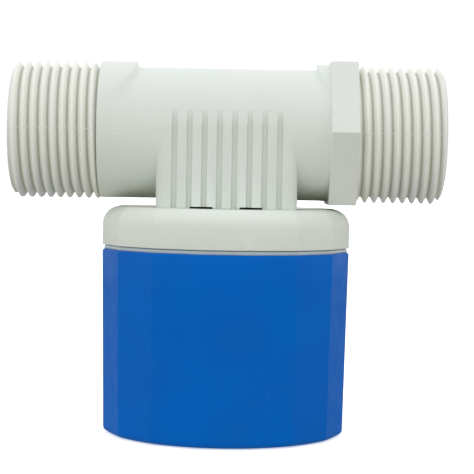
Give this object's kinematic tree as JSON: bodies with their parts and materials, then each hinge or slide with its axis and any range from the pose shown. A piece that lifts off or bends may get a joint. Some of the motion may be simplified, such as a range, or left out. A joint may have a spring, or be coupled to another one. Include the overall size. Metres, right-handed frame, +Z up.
{
  "type": "pilot-operated float valve",
  "caption": "Straight-through tank float valve: threaded pipe run above a faceted cylindrical float that rises to shut a piston valve in the ribbed neck.",
  "frame": {"origin": "centre of the float's flat underside, the lowest point of the part, below the middle of the pipe run", "axes": "+X along the pipe run towards the inlet end, the one with the hexagon; +Z up along the float's axis, from the float to the pipe; +Y the horizontal across the pipe"},
  "size_m": [0.1042, 0.0594, 0.0904],
  "materials": {
    "white_plastic": "satin, very slightly grained, grey-white",
    "blue_plastic": "satin blue with light handling scratches",
    "inner_plastic": "natural off-white moulding",
    "seam_seal": "pale grey translucent seal",
    "black_rubber": "matte black",
    "stainless": "bright stainless"
  },
  "bodies": {
    "valve": {"body": "white_plastic", "strainer_screen": "stainless", "strainer_ring": "inner_plastic", "pilot_cover": "inner_plastic", "cover_gasket": "black_rubber", "pilot_nozzle": "stainless", "bleed_pin": "stainless", "cover_screw_1": "stainless", "cover_screw_2": "stainless", "cover_screw_3": "stainless", "cover_screw_4": "stainless"},
    "piston_group": {"piston": "inner_plastic", "piston_seal": "black_rubber", "piston_pad": "black_rubber", "pad_washer": "stainless", "pad_screw": "stainless", "piston_spring": "stainless"},
    "float": {"float_cup": "blue_plastic", "float_cap": "white_plastic", "seam_gasket": "seam_seal", "float_well": "inner_plastic", "pilot_pad": "black_rubber"}
  },
  "joints": [
    {"name": "float_slide", "type": "slide", "parent": "valve", "child": "float", "axis": [0, 0, 1], "range_m": [-0.006, 0]},
    {"name": "piston_slide", "type": "slide", "parent": "valve", "child": "piston_group", "axis": [0, 0, 1], "range_m": [-0.0035, 0], "stiffness_N_per_m": 50, "springref_m": 0.004, "deforming": ["piston_spring"]}
  ]
}
